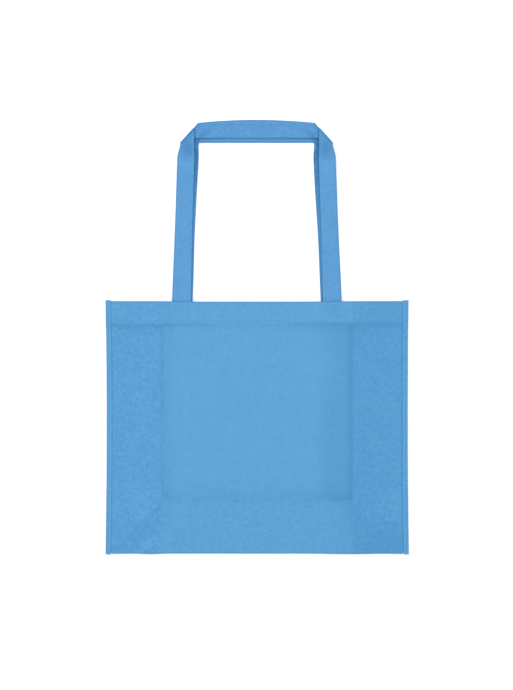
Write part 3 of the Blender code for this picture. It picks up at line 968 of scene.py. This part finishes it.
# Where the strap turns over, the side that lies uppermost is dragged into a slanting crease,
# which is darkened with painted shade, and painted shade darkens the corner under the fold; the
# side underneath is plain but for painted shade at its edges. Out and rise add up to FOLD_LINE
# along the fold. Each patch of painted shade or highlight is a place, out and up, and its reach
# both ways
STRAP_BACKING = 0.12
GRIP_BACKING = 0.27
RIM = 0.0013
FOLD_LINE = 0.3090
DRAG_START = (0.0735, 0.2190)
DRAG_RUN = (-0.0100, 0.0080)
GRIP_SHADE = (0.0787, 0.2335, 0.0024, 0.0040)
CORNER_SHADE = (0.0905, 0.2015, 0.0090, 0.0125)
LEG_HIGHLIGHT = (0.0905, 0.1790, 0.0100, 0.0110)


def strap_tone(across, spot, upward, on_top, behind):
    edge_in = min(across, STRAP_WIDTH - across)
    # The side underneath: painted shade along its edges
    if not on_top:
        return STRAP_BACKING, 0.6 * ease(edge_in, RIM)
    out, rise = abs(spot.x), spot.y - BAG_HEIGHT
    lean = 0.0012 if spot.x < 0 else 0.0
    turned = upward.z < -0.9
    inner_side = upward.z > 0 and not behind and across > STRAP_WIDTH / 2
    # Painted shade along the edges, and a painted highlight in a stripe just inside them
    edge_highlight, edge_highlight_in = (0.55, 0.0020) if inner_side else (0.25, 0.0034)
    painted_shade = (0.2 if inner_side else 1.9 if turned else 1.1) * ease(edge_in, RIM)
    painted_shade -= edge_highlight * ease(abs(edge_in - edge_highlight_in), 0.0016)
    if turned:
        # On the grip: painted shade in the slanting crease and at the turn, a painted shadow
        # beside the leg's inner edge, and painted shade lines where the other band's edge lies
        # over or under it
        along = min(max((out - DRAG_START[0]) / DRAG_RUN[0], 0.0), 1.0)
        beside = out - (DRAG_START[0] + DRAG_RUN[0] * along)
        crease = math.hypot(beside, rise - (DRAG_START[1] + DRAG_RUN[1] * along))
        painted_shade += 0.12 + (1.35 - 0.7 * along) * ease(crease, 0.0066)
        painted_shade += 2.0 * ease(0.0820 + lean - out, 0.0036) + 1.1 * shade_patch(out, rise, *GRIP_SHADE)
        if behind:
            painted_shade += 0.5 * ease(abs(STRAP_WIDTH - 0.0052 - across), 0.0016)
        else:
            painted_shade += 0.9 * ease(abs(across - 0.0062), 0.0013)
    else:
        # On the leg: painted shade in the corner under the fold and along the fold, a painted
        # highlight below that corner, and on the back strap a painted shadow of the front strap's
        # leg
        from_fold = FOLD_LINE + lean - out - rise
        painted_shade += 1.30 * shade_patch(out, rise, *CORNER_SHADE)
        painted_shade -= 0.35 * shade_patch(out, rise, *LEG_HIGHLIGHT)
        painted_shade += 1.2 * ease(from_fold, 0.0030)
        painted_shade += (0.5 if spot.x < 0 else 0.2) * ease(from_fold, 0.016)
        painted_shade += behind * (1.0 + 0.85 * ease(0.175 - rise, 0.08))
    return (GRIP_BACKING if upward.z < 0 else STRAP_BACKING), painted_shade


def strap(name, frames, behind):
    section = strap_section()
    turns = path_normals(section)
    points = []
    normals = []
    tones = []
    for start, across, upward in frames:
        spots = [start + across * along + upward * lift for along, lift in section]
        points.append(spots)
        normals.append([across.normalized() * turn[0] + upward * turn[1] for turn in turns])
        tones.append([
            strap_tone(along, spot, upward, lift * upward.z > 0, behind)
            for (along, lift), spot in zip(section, spots)
        ])
    return lay_cloth(name, points, normals, tones)


PALE_STRAP = (0.0970, 0.3180, 0.6180)
DEEP_STRAP = (0.0700, 0.2760, 0.5830)
# The colour that painted shade darkens the straps towards
PAINTED_SHADE_STRAP = (0.0640, 0.2520, 0.5250)
strap_finish = spun_cloth("handle_cloth", PALE_STRAP, DEEP_STRAP, PAINTED_SHADE_STRAP)
front_frames = strap_frames(FRONT_FOOT, FRONT_CROWN, 1, FRONT_TURN)
back_frames = strap_frames(BACK_FOOT, BACK_CROWN, 0, BACK_TURN)
for node, frames, behind in (("front_handle", front_frames, 0), ("back_handle", back_frames, 1)):
    strip = strap(node + "_strap", frames, behind)
    strip.data.materials.append(strap_finish)
    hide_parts(node)
    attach(strip, "root")

# Thread: plain polyester lock stitch in the cloth's own blue, about ten stitches to the inch.
# It holds the bindings, both hems, the strap edges, and a box with a cross at each handle end.
STITCH = 0.0026
STITCH_SHOWS = (0.10, 0.90)
THREAD = 0.00034
PROUD = THREAD * 0.22
bpy.ops.object.select_all(action="DESELECT")
bpy.ops.mesh.primitive_uv_sphere_add(
    segments=6, ring_count=4, radius=0.5, rotation=(0, math.pi / 2, 0)
)
one_stitch = bpy.context.object
bpy.ops.object.transform_apply(location=True, rotation=True, scale=True)
stitch_spots = [vertex.co.copy() for vertex in one_stitch.data.vertices]
stitch_faces = [list(face.vertices) for face in one_stitch.data.polygons]
bpy.data.objects.remove(one_stitch)

thread_finish = bpy.data.materials.new("thread")
thread_finish.use_nodes = True
thread_nodes = thread_finish.node_tree.nodes
thread_links = thread_finish.node_tree.links
thread_shader = thread_nodes["Principled BSDF"]
thread_place = thread_nodes.new("ShaderNodeTexCoord")
thread_twist = thread_nodes.new("ShaderNodeTexNoise")
thread_twist.inputs["Scale"].default_value = 2600
thread_dye = thread_nodes.new("ShaderNodeMix")
thread_dye.data_type = "RGBA"
thread_dye.inputs["A"].default_value = (0.078, 0.285, 0.550, 1)
thread_dye.inputs["B"].default_value = (0.120, 0.360, 0.640, 1)
thread_links.new(thread_place.outputs["Object"], thread_twist.inputs["Vector"])
thread_links.new(thread_twist.outputs["Fac"], thread_dye.inputs["Factor"])
thread_links.new(thread_dye.outputs["Result"], thread_shader.inputs["Base Color"])
thread_shader.inputs["Roughness"].default_value = 0.5
thread_shader.inputs["Sheen Weight"].default_value = 0.2


# Points of a sewn line, already lying on the cloth, with the way up from the cloth at each
def sew(name, lines):
    spots = []
    faces = []
    for line in lines:
        travelled = [0.0]
        for one, other in zip(line, line[1:]):
            travelled.append(travelled[-1] + (other[0] - one[0]).length)

        def at(distance):
            index = 0
            while index < len(travelled) - 2 and travelled[index + 1] < distance:
                index += 1
            run = travelled[index + 1] - travelled[index]
            share = (distance - travelled[index]) / run if run > 1e-9 else 0.0
            (start, start_up), (end, end_up) = line[index], line[index + 1]
            return start.lerp(end, share), start_up.lerp(end_up, share)

        count = max(1, round(travelled[-1] / STITCH))
        pitch = travelled[-1] / count
        for number in range(count):
            start, upward = at((number + STITCH_SHOWS[0]) * pitch)
            end = at((number + STITCH_SHOWS[1]) * pitch)[0]
            along = end - start
            upward = upward - along * (upward.dot(along) / along.length_squared)
            upward = upward.normalized() * THREAD
            aside = along.cross(upward).normalized() * THREAD
            middle = (start + end) / 2
            first = len(spots)
            for spot in stitch_spots:
                spots.append(middle + along * spot.x + aside * spot.y + upward * spot.z)
            faces += [[first + corner for corner in face] for face in stitch_faces]
    mesh = bpy.data.meshes.new(name)
    mesh.from_pydata(spots, [], faces)
    build = bmesh.new()
    build.from_mesh(mesh)
    bmesh.ops.recalc_face_normals(build, faces=build.faces)
    build.to_mesh(mesh)
    build.free()
    mesh.shade_smooth()
    mesh.materials.append(thread_finish)
    seam = bpy.data.objects.new(name, mesh)
    bpy.context.collection.objects.link(seam)
    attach(seam, "root")


def on_front(x, height):
    side = 1 if x > 0 else -1
    inward = HALF_WIDTH - abs(x)
    level = front_level(inward, height) + CLOTH / 2 + PROUD
    return lie(waisted(side, inward, height, level)), UP


def under_back(x, height):
    side = 1 if x > 0 else -1
    inward = HALF_WIDTH - abs(x)
    level = back_level(inward) - CLOTH / 2 - PROUD
    return lie(waisted(side, inward, height, level)), -UP


tape_lines = []
for side in (-1, 1):
    outside = []
    underneath = []
    for row in spread(0.0005, BAG_HEIGHT + 0.0006, 0.003):
        top = tape_levels(True, row)[1] + CLOTH / 2 + PROUD
        base = tape_levels(False, row)[0] - CLOTH / 2 - PROUD
        outside.append((lie(waisted(side, SEAM_IN, row, top)), UP))
        underneath.append((lie(waisted(side, SEAM_IN, row, base)), -UP))
    tape_lines += [outside, underneath]
sew("binding_stitches", tape_lines)

HEM_SEAM = HEM_LINE + 0.0030
hem_reach = HALF_WIDTH - TAPE_WIDTH - 0.001
hem_places = spread(-hem_reach, hem_reach, 0.004)
sew("hem_stitches", [
    [on_front(x, HEM_SEAM) for x in hem_places],
    [under_back(x, HEM_SEAM) for x in hem_places],
])

BOX_HALF = 0.0092
BOX_LOW = HEM_LINE + 0.0048
BOX_HIGH = BAG_HEIGHT - 0.0042
box_lines = []
for place, foot in ((on_front, FRONT_FOOT), (under_back, BACK_FOOT)):
    for side in (-1, 1):
        left, right = side * foot - BOX_HALF, side * foot + BOX_HALF
        corners = [(left, BOX_LOW), (right, BOX_LOW), (right, BOX_HIGH), (left, BOX_HIGH)]
        for start, end in ((0, 1), (1, 2), (2, 3), (3, 0), (0, 2), (3, 1)):
            one, other = corners[start], corners[end]
            box_lines.append([
                place(one[0] + (other[0] - one[0]) * share, one[1] + (other[1] - one[1]) * share)
                for share in spread(0, 1, 0.1)
            ])
sew("handle_end_stitches", box_lines)

STRAP_SEAM = 0.0022
for node, frames in (("front_handle", front_frames), ("back_handle", back_frames)):
    strap_lines = []
    for across_at in (STRAP_SEAM, STRAP_WIDTH - STRAP_SEAM):
        for face in (1, -1):
            line = []
            for start, across, upward in frames:
                lift = face * (STRAP_THICK / 2 + PROUD)
                line.append((lie(start + across * across_at + upward * lift), upward * face))
            strap_lines.append(line)
    sew(node + "_stitches", strap_lines)
